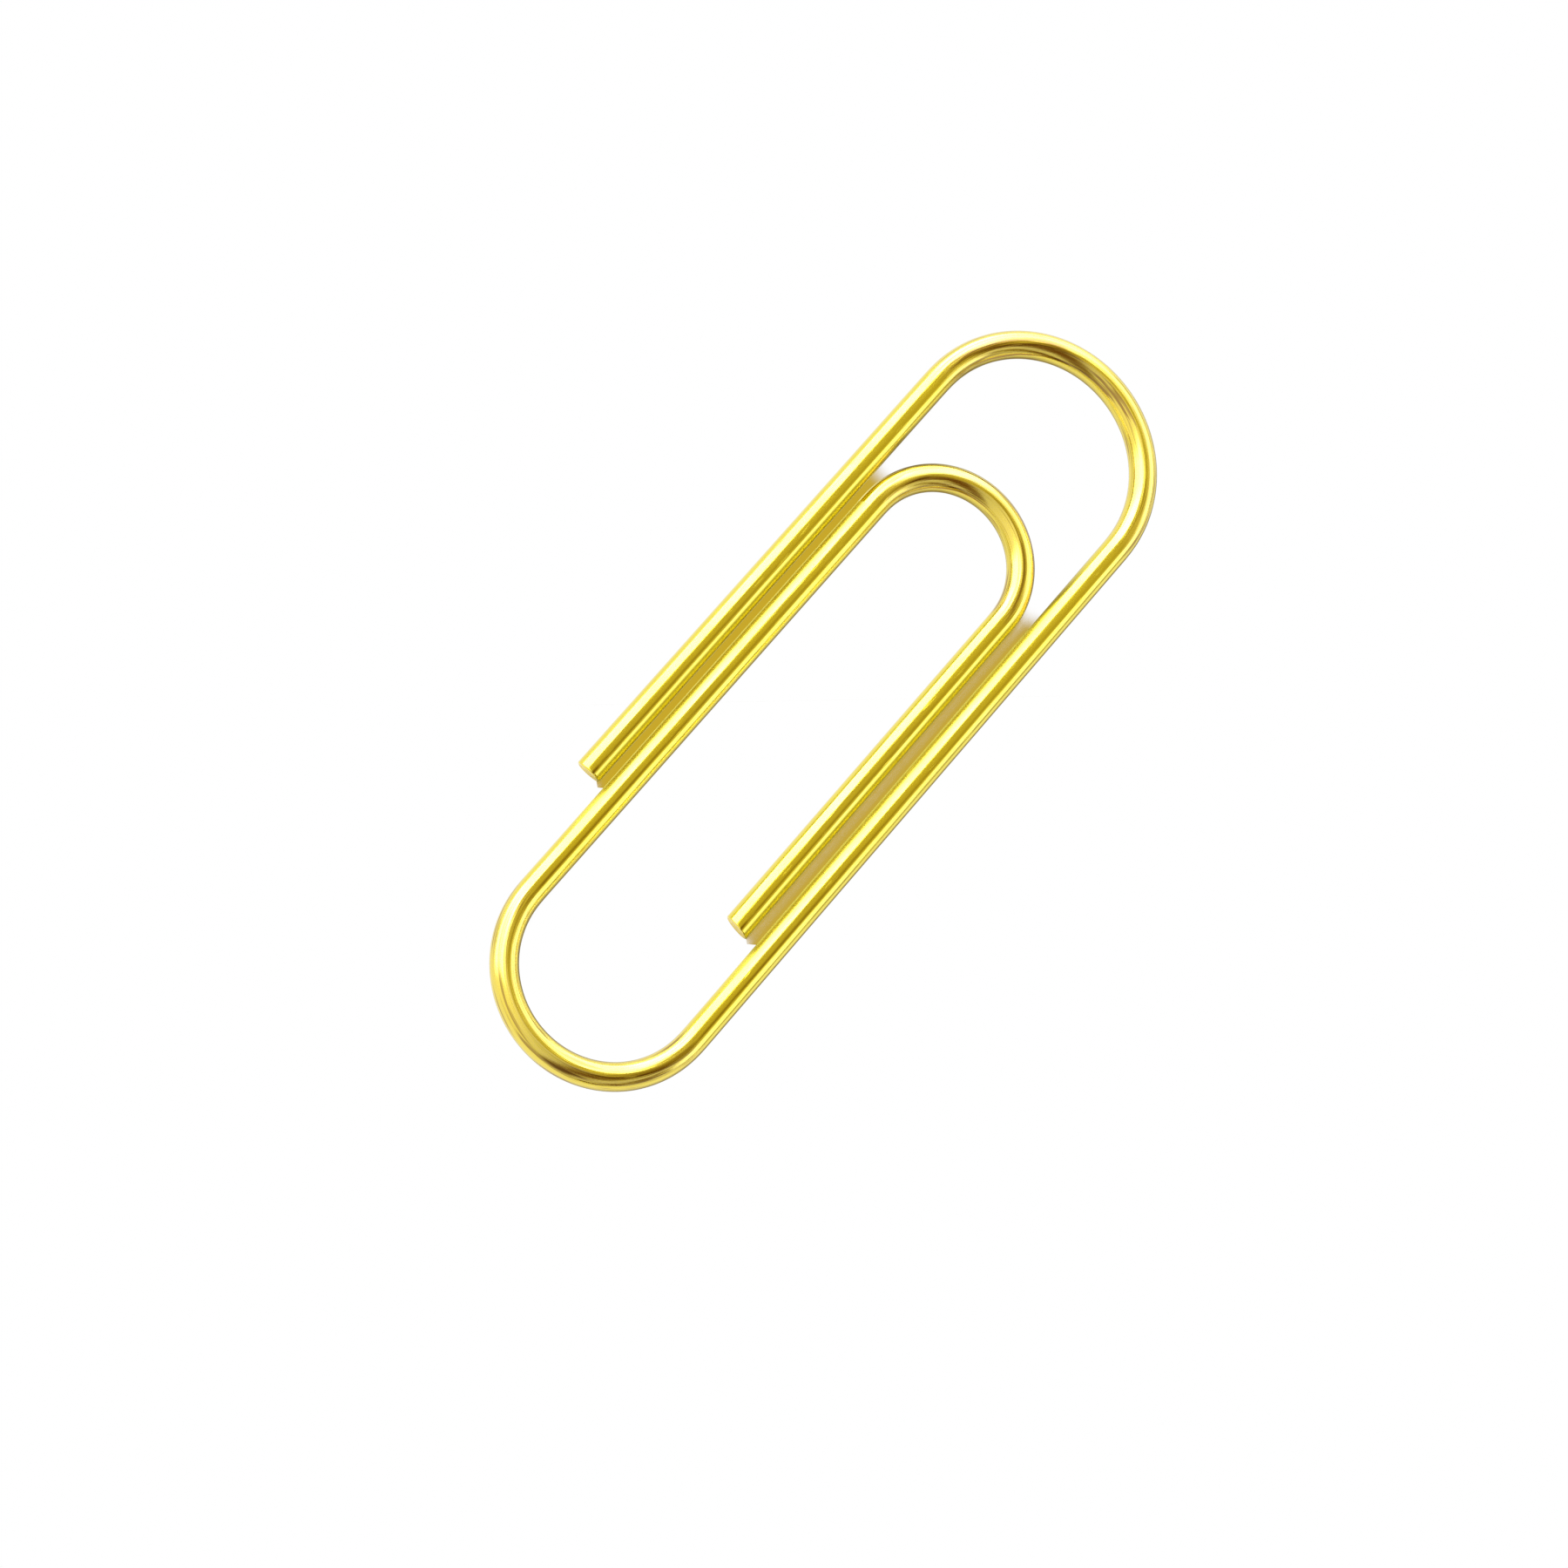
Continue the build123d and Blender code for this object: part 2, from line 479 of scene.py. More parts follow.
def mix_colours(tree, share, first, second):
    """The first colour where share is 0 and the second where it is 1."""
    node = new_node(tree, "ShaderNodeMix", {0: share, 6: first, 7: second}, data_type="RGBA")
    return node.outputs[2]


def new_group(name, inputs, outputs):
    """An empty node group with these named sockets, and its input and output nodes."""
    group = bpy.data.node_groups.new(name, "ShaderNodeTree")
    for socket, kind in inputs.items():
        group.interface.new_socket(socket, in_out="INPUT", socket_type=kind)
    for socket, kind in outputs.items():
        group.interface.new_socket(socket, in_out="OUTPUT", socket_type=kind)
    return group, group.nodes.new("NodeGroupInput"), group.nodes.new("NodeGroupOutput")


def place_group(tree, group, inputs):
    """A node group placed in a tree, with the values or links of its inputs."""
    return new_node(tree, "ShaderNodeGroup", inputs, node_tree=group)


print("node helpers are ready")

# %% [markdown]
# ## Lines along the wire
#
# Drawing pulls the wire through a hard die, and every grain in the die leaves a line along it. The
# plating is thin and bright, so the lines still show as faint streaks. An image would need a flat
# copy of the wire. Noise that is stretched along the wire needs none: the place on the wire is scaled
# up across, and down along, before the noise reads it.

# %% Group: drawn lines
drawn_lines, lines_in, lines_out = new_group(
    "drawn_lines",
    {"Place": "NodeSocketVector", "Lines per mm": "NodeSocketFloat", "Length in mm": "NodeSocketFloat"},
    {"Height": "NodeSocketFloat"},
)
across_scale = combine(drawn_lines, "MULTIPLY", lines_in.outputs["Lines per mm"], 1 / MM)
along_scale = combine(drawn_lines, "DIVIDE", 1 / MM, lines_in.outputs["Length in mm"])
stretch = new_node(
    drawn_lines, "ShaderNodeCombineXYZ", {"X": across_scale, "Y": across_scale, "Z": along_scale},
).outputs[0]
line_noise = new_node(drawn_lines, "ShaderNodeTexNoise", {
    "Vector": combine_vectors(drawn_lines, "MULTIPLY", lines_in.outputs["Place"], stretch),
    "Scale": 1.0, "Detail": 3.0, "Roughness": 0.6,
})
drawn_lines.links.new(line_noise.outputs[0], lines_out.inputs["Height"])
print("group", drawn_lines.name, "has", len(drawn_lines.nodes), "nodes")

# %% [markdown]
# ## The tone of the plating
#
# Plating from a bath is never quite even: the metal is a little thicker here and a little redder
# there, in patches a few millimetres long. A slow noise along the wire gives those patches, stretched
# in contrast so that the palest and the deepest tone both occur.

# %% Group: plating tone
TONE_NOISE = 0.32, 0.68    # noise that becomes the deepest and the palest tone
plating_tone, tone_in, tone_out = new_group(
    "plating_tone",
    {"Place": "NodeSocketVector", "Patch in mm": "NodeSocketFloat"},
    {"Tone": "NodeSocketFloat"},
)
patch_scale = combine(plating_tone, "DIVIDE", 1 / MM, tone_in.outputs["Patch in mm"])
tone_noise = new_node(plating_tone, "ShaderNodeTexNoise", {
    "Vector": tone_in.outputs["Place"], "Scale": patch_scale, "Detail": 2.0, "Roughness": 0.5,
})
patches = ramp(plating_tone, tone_noise.outputs[0], *TONE_NOISE)
plating_tone.links.new(patches, tone_out.inputs["Tone"])
print("group", plating_tone.name, "has", len(plating_tone.nodes), "nodes")

# %% [markdown]
# ## Scuffs from handling
#
# Clips rub against each other in their box and against the paper's edge. That leaves short hairlines
# across the drawn lines, each a little duller than the metal around it. Noise stretched along a
# slanting direction has long thin ridges, and keeping only its highest parts leaves hairlines.

# %% Group: handling scuffs
SCUFF_TURN = (math.radians(55), math.radians(20), 0)
SCUFF_SCALE = (11 / MM, 11 / MM, 0.9 / MM)   # narrow across the scuffs, long along them
SCUFF_NOISE = 0.66, 0.76                     # noise where a hairline starts and where it is full
handling_scuffs, scuffs_in, scuffs_out = new_group(
    "handling_scuffs",
    {"Place": "NodeSocketVector", "Amount": "NodeSocketFloat"},
    {"Mask": "NodeSocketFloat"},
)
turned_place = new_node(handling_scuffs, "ShaderNodeMapping", {
    "Vector": scuffs_in.outputs["Place"],
    "Rotation": SCUFF_TURN,
    "Scale": SCUFF_SCALE,
}).outputs[0]
scuff_noise = new_node(handling_scuffs, "ShaderNodeTexNoise", {
    "Vector": turned_place, "Scale": 1.0, "Detail": 1.0, "Roughness": 0.5,
})
hairlines = ramp(handling_scuffs, scuff_noise.outputs[0], *SCUFF_NOISE)
scuff_mask = combine(handling_scuffs, "MULTIPLY", hairlines, scuffs_in.outputs["Amount"])
handling_scuffs.links.new(scuff_mask, scuffs_out.inputs["Mask"])
print("group", handling_scuffs.name, "has", len(handling_scuffs.nodes), "nodes")

# %% [markdown]
# ## The bright plating
#
# The plating is a metal, so it has no colour of its own under the light: it tints what it mirrors. A
# deep yellow keeps the dim parts of the room golden, and a thin clear coat, the lacquer that keeps the
# plating from dulling, adds untinted light, so a bright window shows as cream and not as orange.
#
# Bending stretches the outside of the wire and wrinkles the inside. There the plating turns a little
# paler, the drawn lines open up, and the mirror turns satin, so colour, roughness and the height of
# the lines all follow how strongly the wire is bent. The opened lines get dark bottoms, which are
# painted shade in their grooves. The dull and the rubbed sides are more satin still, and no lacquer is
# left on them. The dull sides are also painted darker, as painted shade for the narrow gaps.

# %% Material: gold plating, its marks
LINES_PER_MM = 14.0        # fine lines, all along the wire
LINE_LENGTH = 7.0          # in mm
GROOVES_PER_MM = 5.0       # coarser ones, which open up in the bends
GROOVE_LENGTH = 5.0        # in mm
TONE_PATCH = 2.5           # in mm, the size of a patch of one tone
BUMP_HEIGHT = 0.01 * MM

gold = bpy.data.materials.new("gold_plating")
gold.use_nodes = True
tree = gold.node_tree
place = new_node(tree, "ShaderNodeAttribute", attribute_name="wire_place").outputs["Vector"]
bend = new_node(tree, "ShaderNodeAttribute", attribute_name="bend_share").outputs["Fac"]
dull_and_painted_shade = new_node(tree, "ShaderNodeAttribute", attribute_name="dull_and_painted_shade_share").outputs["Fac"]
rubbed = new_node(tree, "ShaderNodeAttribute", attribute_name="rubbed_share").outputs["Fac"]
lines = place_group(tree, drawn_lines, {
    "Place": place, "Lines per mm": LINES_PER_MM, "Length in mm": LINE_LENGTH,
}).outputs["Height"]
grooves = place_group(tree, drawn_lines, {
    "Place": place, "Lines per mm": GROOVES_PER_MM, "Length in mm": GROOVE_LENGTH,
}).outputs["Height"]
tone = place_group(tree, plating_tone, {"Place": place, "Patch in mm": TONE_PATCH}).outputs["Tone"]
scuffs = place_group(tree, handling_scuffs, {"Place": place, "Amount": 1.0}).outputs["Mask"]
print("marks of the plating take", len(tree.nodes), "nodes")

# %% Material: gold plating, its colour
DEEP_GOLD = (0.94, 0.77, 0.04, 1)
PALE_GOLD = (0.98, 0.83, 0.07, 1)
STRETCHED_GOLD = (0.96, 0.78, 0.11, 1)
# painted shade in the bottoms of the opened lines in the bends
PAINTED_GROOVE_SHADE = (0.34, 0.17, 0.01, 1)
# painted shade: the free legs' sides that face the gaps, darkened
PAINTED_GAP_SHADE_GOLD = (0.50, 0.42, 0.02, 1)
PAINTED_GAP_SHADE_LINE_GOLD = (0.44, 0.34, 0.02, 1)
RUBBED_GOLD = (0.95, 0.83, 0.10, 1)
STRETCHED_LINES = 0.38, 0.56    # line heights where stretched gold starts and is full
LEAST_STRETCHED = 0.25          # share of it below that
OPEN_GROOVES = 0.45, 0.37       # groove heights where a dark bottom starts and is full
OPEN_LINES = 0.43, 0.36
GROOVE_SHARE, LINE_SHARE = 0.85, 0.7
plain_gold = mix_colours(tree, tone, DEEP_GOLD, PALE_GOLD)
stretched = combine(tree, "MULTIPLY", ramp(tree, lines, *STRETCHED_LINES, LEAST_STRETCHED, 1.0), bend)
open_grooves = ramp(tree, grooves, *OPEN_GROOVES, 0.0, GROOVE_SHARE)
open_lines = ramp(tree, lines, *OPEN_LINES, 0.0, LINE_SHARE)
groove_shade = combine(tree, "MULTIPLY", combine(tree, "MAXIMUM", open_grooves, open_lines), bend)
colour = mix_colours(tree, stretched, plain_gold, STRETCHED_GOLD)
# painted shade: dark bottoms of the opened lines in the bends
colour = mix_colours(tree, groove_shade, colour, PAINTED_GROOVE_SHADE)
# painted shade on the free legs' sides that face the gaps
colour = mix_colours(tree, dull_and_painted_shade, colour, mix_colours(tree, lines, PAINTED_GAP_SHADE_GOLD, PAINTED_GAP_SHADE_LINE_GOLD))
colour = mix_colours(tree, rubbed, colour, RUBBED_GOLD)
print("with its colour it has", len(tree.nodes), "nodes")

# %% Material: gold plating, its roughness and lacquer
EVEN_ROUGHNESS = 0.17, 0.13     # of the deepest and of the palest tone
BENT_ROUGHNESS, SCUFF_ROUGHNESS, SATIN_ROUGHNESS = 0.03, 0.12, 0.22   # added to it
SCUFFED_COAT = 0.5              # share of lacquer that is left on a scuff
satin = combine(tree, "ADD", dull_and_painted_shade, rubbed)
roughness = ramp(tree, tone, 0.0, 1.0, *EVEN_ROUGHNESS)
for mark, added in ((bend, BENT_ROUGHNESS), (scuffs, SCUFF_ROUGHNESS), (satin, SATIN_ROUGHNESS)):
    roughness = combine(tree, "ADD", roughness, combine(tree, "MULTIPLY", mark, added))
lacquer = ramp(tree, satin, 0.0, 1.0, 1.0, 0.0)
coat = combine(tree, "MULTIPLY", ramp(tree, scuffs, 0.0, 1.0, 1.0, SCUFFED_COAT), lacquer)
print("with its roughness it has", len(tree.nodes), "nodes")

# %% Material: gold plating, its height and shader
LINE_HEIGHTS = 0.35, 0.6        # in straight wire and in a bend, in shares of the bump's height
GROOVE_HEIGHTS = 0.3, 1.5
SCUFF_DEPTH = 0.1
line_height = combine(tree, "MULTIPLY", lines, ramp(tree, bend, 0.0, 1.0, *LINE_HEIGHTS))
groove_height = combine(tree, "MULTIPLY", grooves, ramp(tree, bend, 0.0, 1.0, *GROOVE_HEIGHTS))
height = combine(tree, "ADD", line_height, groove_height)
height = combine(tree, "SUBTRACT", height, combine(tree, "MULTIPLY", scuffs, SCUFF_DEPTH))
normal = new_node(
    tree, "ShaderNodeBump", {"Strength": 1.0, "Distance": BUMP_HEIGHT, "Height": height},
).outputs["Normal"]

shader = tree.nodes["Principled BSDF"]
shader.inputs["Metallic"].default_value = 1.0
shader.inputs["Coat Roughness"].default_value = 0.06
shader.inputs["Coat IOR"].default_value = 1.6
for socket, value in (
    ("Base Color", colour), ("Roughness", roughness), ("Coat Weight", coat), ("Normal", normal),
):
    tree.links.new(value, shader.inputs[socket])
print("material", gold.name, "has", len(tree.nodes), "nodes")

# %% [markdown]
# ## The sheared faces
#
# A shear cuts the first part of the wire clean and tears the rest, so a cut face has fine lines in
# the blade's direction and a duller, slightly browner metal than the side. It was plated with the
# rest. The same groups serve here with other values: the lines now run up the face, because the place
# is handed over with its parts in another order.

# %% Material: sheared end
BLADE_LINES_PER_MM = 12.0
BLADE_LINE_LENGTH = 0.8    # in mm
CUT_PATCH = 0.4            # in mm
CUT_SCUFFS = 0.6           # a cut face is rubbed less than the wire's side
BLADE_LINES = 0.35, 0.65   # line heights from torn to clean metal
TORN_HEIGHT = 0.2 * MM     # torn from this far below the middle, clean from as far above it
CUT_ROUGHNESS = 0.55, 0.42      # of torn and of clean metal
CUT_SCUFF_ROUGHNESS = 0.1       # added to it
CUT_BUMP = 0.8

sheared = bpy.data.materials.new("sheared_end")
sheared.use_nodes = True
tree = sheared.node_tree
place = new_node(tree, "ShaderNodeAttribute", attribute_name="wire_place").outputs["Vector"]
parts = new_node(tree, "ShaderNodeSeparateXYZ", {0: place}).outputs
blade_place = new_node(
    tree, "ShaderNodeCombineXYZ", {"X": parts["X"], "Y": parts["Z"], "Z": parts["Y"]},
).outputs[0]
blade_lines = place_group(tree, drawn_lines, {
    "Place": blade_place, "Lines per mm": BLADE_LINES_PER_MM, "Length in mm": BLADE_LINE_LENGTH,
}).outputs["Height"]
tone = place_group(tree, plating_tone, {"Place": place, "Patch in mm": CUT_PATCH}).outputs["Tone"]
scuffs = place_group(tree, handling_scuffs, {"Place": place, "Amount": CUT_SCUFFS}).outputs["Mask"]
TORN_GOLD = (0.90, 0.72, 0.20, 1)
CUT_GOLD = (1.0, 0.88, 0.38, 1)
cut_colour = mix_colours(tree, tone, TORN_GOLD, CUT_GOLD)
colour = mix_colours(tree, ramp(tree, blade_lines, *BLADE_LINES), TORN_GOLD, cut_colour)
torn = ramp(tree, parts["Y"], -TORN_HEIGHT, TORN_HEIGHT, *CUT_ROUGHNESS)
roughness = combine(tree, "ADD", torn, combine(tree, "MULTIPLY", scuffs, CUT_SCUFF_ROUGHNESS))
normal = new_node(
    tree, "ShaderNodeBump", {"Strength": CUT_BUMP, "Distance": BUMP_HEIGHT, "Height": blade_lines},
).outputs["Normal"]
shader = tree.nodes["Principled BSDF"]
shader.inputs["Metallic"].default_value = 1.0
for socket, value in (("Base Color", colour), ("Roughness", roughness), ("Normal", normal)):
    tree.links.new(value, shader.inputs[socket])
for piece in wires:
    piece.data.materials.append(gold)
    piece.data.materials.append(sheared)
print("material", sheared.name, "has", len(tree.nodes), "nodes")

# %% [markdown]
# ## The drawn wire in place of the CAD wire
#
# In the imported model the clip's wire belongs to four bodies, one for each leg and its half bends, and
# the joints lie at the crowns. Each piece of wire reaches over one joint. The real wire twists in its
# bends as the clip opens, but here nothing ties a piece to a body: each only has its placement baked
# into its points, and the CAD wire that it stands for is hidden.

# %% Bake the pieces in place and hide the CAD wire


def blend_round(piece):
    """Bakes the piece's placement into its points; it is not tied to any body."""
    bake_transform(piece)


blend_round(upper_wire)
blend_round(lower_wire)
blend_round(inner_wire)
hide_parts("outer_leg", "upper_bend_left", "upper_bend_right", "long_leg")
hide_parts("lower_bend_right", "lower_bend_left", "middle_leg")
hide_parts("inner_bend_left", "inner_bend_right", "inner_leg")

# %% [markdown]
# ## The camera
#
# The camera looks down on the clip from its lower left, 20 degrees away from straight above, through
# a long lens. It is turned about its own line of sight until the clip lies across the picture from
# lower left to upper right. The wire is equally thick everywhere, so how its width shrinks along the
# picture gives the distance, and how its two gaps differ gives the tilt.

# %% Camera
VIEW_AZIMUTH = math.radians(-107.54)
VIEW_ELEVATION = math.radians(69.97)
VIEW_ROLL = math.radians(59.70)
VIEW_DISTANCE = 173.45 * MM
AIM = Vector((0.941 * MM, -3.282 * MM, wire_z))
LENS = 116.0               # in mm, as is the sensor's width
SENSOR = 36.0

back = Vector((
    math.cos(VIEW_ELEVATION) * math.cos(VIEW_AZIMUTH),
    math.cos(VIEW_ELEVATION) * math.sin(VIEW_AZIMUTH),
    math.sin(VIEW_ELEVATION),
))
level_right = Vector((0, 0, 1)).cross(back).normalized()
level_up = back.cross(level_right)
view_right = math.cos(VIEW_ROLL) * level_right + math.sin(VIEW_ROLL) * level_up
view_up = back.cross(view_right)

camera = bpy.data.objects.new("camera", bpy.data.cameras.new("camera"))
bpy.context.scene.collection.objects.link(camera)
camera.data.lens = LENS
camera.data.sensor_width = SENSOR
camera.data.clip_start = 0.01
camera.data.clip_end = 10
turn = Matrix((view_right, view_up, back)).transposed()
camera.matrix_world = Matrix.Translation(AIM + VIEW_DISTANCE * back) @ turn.to_4x4()
bpy.context.scene.camera = camera
print("camera stands at, in mm:", [round(c / MM, 1) for c in camera.matrix_world.translation])

# %% [markdown]
# ## A white table
#
# The clip lies on a plain white table, lit so evenly that only the narrow gaps between its legs show
# a shade, golden with the light that the metal throws into them, and a thin line beside each leg on
# the side away from the window. A matt white floor would do, but then its white would be a matter of
# lamps. So the camera looks through the table to a white backdrop, except where the clip is close. The
# gaps' shade ends in a point at the free legs' cuts, and runs out where the inner bend starts.
#
# How close it is comes from ambient occlusion, the share of the sky over a spot that nothing blocks.
# Its strength follows the clip as it opens, but the area where the gaps' shade may show is fixed where
# the gaps lie at rest, and since it costs many rays, it is asked only beside the clip at rest. Every
# other ray, such as the metal's mirror rays, meets the same white table, brown in the clip's own shade
# and golden in the gaps, where gold faces gold and throws the light to and fro.

# %% Floor
FLOOR_HALF = 1.5           # half of the table's side, in metres

floor_mesh = bpy.data.meshes.new("floor")
corners = FLOOR_HALF * np.array([[-1, -1, 0], [1, -1, 0], [1, 1, 0], [-1, 1, 0]])
floor_mesh.from_pydata(corners.tolist(), [], [[0, 1, 2, 3]])
floor = bpy.data.objects.new("floor", floor_mesh)
bpy.context.scene.collection.objects.link(floor)
print("table is", 2 * FLOOR_HALF, "m wide")

# %% Table: how open and how lit each spot is
GAP_REACH = 0.8 * MM       # how far a spot of the table looks round for the clip, for the gaps
LIGHT_REACH = 4.0 * MM     # and towards the light, for the shade beside the legs
SHADE_SAMPLES = 24
LIGHT_SIDE = {"X": -0.70, "Y": -0.35, "Z": 0.62}   # turned so that the cut ends lie clear of shade

table = bpy.data.materials.new("white_table")
table.use_nodes = True
tree = table.node_tree
tree.nodes.clear()
open_share = new_node(
    tree, "ShaderNodeAmbientOcclusion", {"Distance": GAP_REACH}, samples=SHADE_SAMPLES,
).outputs["AO"]
to_light = new_node(tree, "ShaderNodeCombineXYZ", LIGHT_SIDE).outputs[0]
lit_share = new_node(
    tree, "ShaderNodeAmbientOcclusion", {"Distance": LIGHT_REACH, "Normal": to_light},
    samples=SHADE_SAMPLES,
).outputs["AO"]
print("each spot sends", 2 * SHADE_SAMPLES, "rays")

# %% Table: the shade that the camera sees
GAP_SHADE = (0.58, 0.39, 0.02, 1)       # deep between two legs
EDGE_SHADE = (0.52, 0.37, 0.10, 1)      # where a gap opens
SIDE_SHADE = (0.46, 0.38, 0.20, 1)      # thin, on the side of a leg away from the window
DEEP_TO_EDGE = 0.28, 0.42  # open share of sky, from the deep of a gap to its edge
EDGE_TO_GAP = 0.56, 0.44   # from no shade to a gap's full shade
SIDE_TO_CLEAR = 0.20, 0.28      # lit share, from the thin shade to none
GAP_POINT = 0.8            # slope of the point that a gap's shade ends in, up the clip over across it

clear = new_node(tree, "ShaderNodeBsdfTransparent").outputs[0]
gap_colour = mix_colours(tree, ramp(tree, open_share, *DEEP_TO_EDGE), GAP_SHADE, EDGE_SHADE)
shade = new_node(tree, "ShaderNodeEmission", {"Color": gap_colour}).outputs[0]
side_shade = new_node(tree, "ShaderNodeEmission", {"Color": SIDE_SHADE}).outputs[0]
shown = new_node(
    tree, "ShaderNodeMixShader", {0: ramp(tree, lit_share, *SIDE_TO_CLEAR), 1: side_shade, 2: clear},
).outputs[0]
spot = new_node(tree, "ShaderNodeNewGeometry").outputs["Position"]
spot_parts = new_node(tree, "ShaderNodeSeparateXYZ", {0: spot}).outputs
in_right_gap = combine(tree, "GREATER_THAN", spot_parts["X"], 0.0)
cut_y = ramp(tree, in_right_gap, 0.0, 1.0, outer_end_y, inner_end_y)
left_gap_x, right_gap_x = (outer_x + middle_x) / 2, (inner_x + long_x) / 2
gap_x = ramp(tree, in_right_gap, 0.0, 1.0, left_gap_x, right_gap_x)
off_gap = combine(tree, "ABSOLUTE", combine(tree, "SUBTRACT", spot_parts["X"], gap_x), 0.0)
gap_half = (long_x - inner_x - wire_radius) / 2   # half of the wider gap, and a way under its legs
in_gap = combine(tree, "LESS_THAN", off_gap, gap_half)
gap_end = combine(tree, "ADD", cut_y, combine(tree, "MULTIPLY", off_gap, GAP_POINT))
past_end = combine(tree, "GREATER_THAN", spot_parts["Y"], gap_end)
to_shoulder = ramp(tree, spot_parts["Y"], shoulder_y + MM, shoulder_y)
shade_share = ramp(tree, open_share, *EDGE_TO_GAP)
for limit in (in_gap, past_end, to_shoulder):
    shade_share = combine(tree, "MULTIPLY", shade_share, limit)
shown = new_node(tree, "ShaderNodeMixShader", {0: shade_share, 1: shown, 2: shade}).outputs[0]
print("gaps at x in mm:", [round(x / MM, 2) for x in (left_gap_x, right_gap_x)])

# %% Table: what the metal mirrors of it
TABLE_TONE = (0.95, 0.93, 0.85, 1)      # of the table itself,
SHADED_TONE = (0.28, 0.23, 0.12, 1)     # of the clip's shade on it
GAP_GLOW = (1.0, 0.96, 0.55, 1)         # and of a gap's bottom
SHADED_TO_TABLE = 0.6, 0.95     # lit share, from the clip's shade to the table
DEEP_TO_TABLE = 0.3, 0.45       # open share of sky, from a gap's glow to the table
SHADE_REACH = 1.5 * MM     # further from the clip's box than this, the table has no shade

near_tone = mix_colours(tree, ramp(tree, lit_share, *SHADED_TO_TABLE), SHADED_TONE, TABLE_TONE)
near_tone = mix_colours(tree, ramp(tree, open_share, *DEEP_TO_TABLE), GAP_GLOW, near_tone)
near_mirrored = new_node(tree, "ShaderNodeEmission", {"Color": near_tone}).outputs[0]
far_mirrored = new_node(tree, "ShaderNodeEmission", {"Color": TABLE_TONE}).outputs[0]
camera_ray = new_node(tree, "ShaderNodeLightPath").outputs["Is Camera Ray"]
near_table = new_node(
    tree, "ShaderNodeMixShader", {0: camera_ray, 1: near_mirrored, 2: shown},
).outputs[0]
far_table = new_node(
    tree, "ShaderNodeMixShader", {0: camera_ray, 1: far_mirrored, 2: clear},
).outputs[0]
off_middle = new_node(tree, "ShaderNodeVectorMath", {0: spot}, operation="ABSOLUTE").outputs[0]
off_parts = new_node(tree, "ShaderNodeSeparateXYZ", {0: off_middle}).outputs
near_x = combine(tree, "LESS_THAN", off_parts["X"], cad_high.x + SHADE_REACH)
near_y = combine(tree, "LESS_THAN", off_parts["Y"], cad_high.y + SHADE_REACH)
near = combine(tree, "MULTIPLY", near_x, near_y)
surface = new_node(tree, "ShaderNodeMixShader", {0: near, 1: far_table, 2: near_table}).outputs[0]
new_node(tree, "ShaderNodeOutputMaterial", {"Surface": surface})
floor_mesh.materials.append(table)
print("table has", len(tree.nodes), "nodes")

# %% [markdown]
# ## The light that the metal shows
#
# Polished metal is a picture of its room, so the light is painted as a room. Towards the upper left
# stands a wide soft window of cool light, brightest in its middle, which draws the broad cream band
# along every leg. On the other side is a weaker strip, which draws the thin pale line. Between them a
# dim warm beam crosses the ceiling, and that is the deep gold band. Three dark bars, such as a studio's
# stands and screens, lie where only the bends can mirror them, and draw the brown streaks there. Lamps
# could do this, but a window that reaches a third of the way round needs several, and in the world one
# formula holds it.
#
# Below the horizon the world is white. That is the backdrop which the camera sees past the table.

# %% Light: directions


def compass_point(azimuth, elevation=0.0):
    """The unit vector at this azimuth from +X and this elevation, both in degrees."""
    a, e = math.radians(azimuth), math.radians(elevation)
    return (math.cos(e) * math.cos(a), math.cos(e) * math.sin(a), math.sin(e))


def cosine(degrees):
    """The cosine of an angle in degrees."""
    return math.cos(math.radians(degrees))


def sine(degrees):
    """The sine of an angle in degrees."""
    return math.sin(math.radians(degrees))


def fade_round(tree, towards, angles, level=1.0):
    """A smooth step from 0 at the first angle away from a direction to level at the second."""
    return ramp(tree, towards, cosine(angles[0]), cosine(angles[1]), 0, level)


def fade_up(tree, height, elevations):
    """A smooth step from 0 at the first elevation to 1 at the second."""
    return ramp(tree, height, sine(elevations[0]), sine(elevations[1]))


WINDOW, STRIP = 152, 45    # azimuths, in degrees from +X

world = bpy.data.worlds.new("studio")
bpy.context.scene.world = world
world.use_nodes = True
tree = world.node_tree
tree.nodes.clear()
direction = new_node(tree, "ShaderNodeTexCoord").outputs["Generated"]
parts = new_node(tree, "ShaderNodeSeparateXYZ", {0: direction}).outputs
height = parts["Z"]
level_part = combine_vectors(tree, "MULTIPLY", direction, (1, 1, 0))
compass = new_node(tree, "ShaderNodeVectorMath", {0: level_part}, operation="NORMALIZE").outputs[0]
to_window = combine_vectors(tree, "DOT_PRODUCT", compass, compass_point(WINDOW), "Value")
to_strip = combine_vectors(tree, "DOT_PRODUCT", compass, compass_point(STRIP), "Value")
print("window at azimuth", WINDOW, "and strip at", STRIP)

# %% Light: window, strip, walls and ceiling
WINDOW_SIDES, WINDOW_MIDDLE = (72, 56), (36, 20)  # angles away from it, no light and full light
STRIP_SIDES = 50, 34
WINDOW_TOP = 77, 64                               # elevations, no light and full light
STRIP_TOP, STRIP_FOOT = (52, 36), (10, 18)
UNDER_STRIP = 18, 10                              # elevations, where the wall below it starts to dim
SIDES_LEVEL, MIDDLE_LEVEL = 2.2, 1.5
STRIP_LEVEL = 1.0
WALL_TURN = -1.0, 0.25     # cosines from the window, from the dimmest wall to the brightest
WALL_LEVELS = 0.66, 1.0
UNDER_STRIP_LEVEL = 0.6
BEAM_SIDES = (             # parts of the direction, outside and inside the ceiling's beam
    ("X", -0.50, -0.44), ("X", 0.72, 0.54), ("Y", 0.05, 0.2), ("Y", 0.56, 0.44),
)

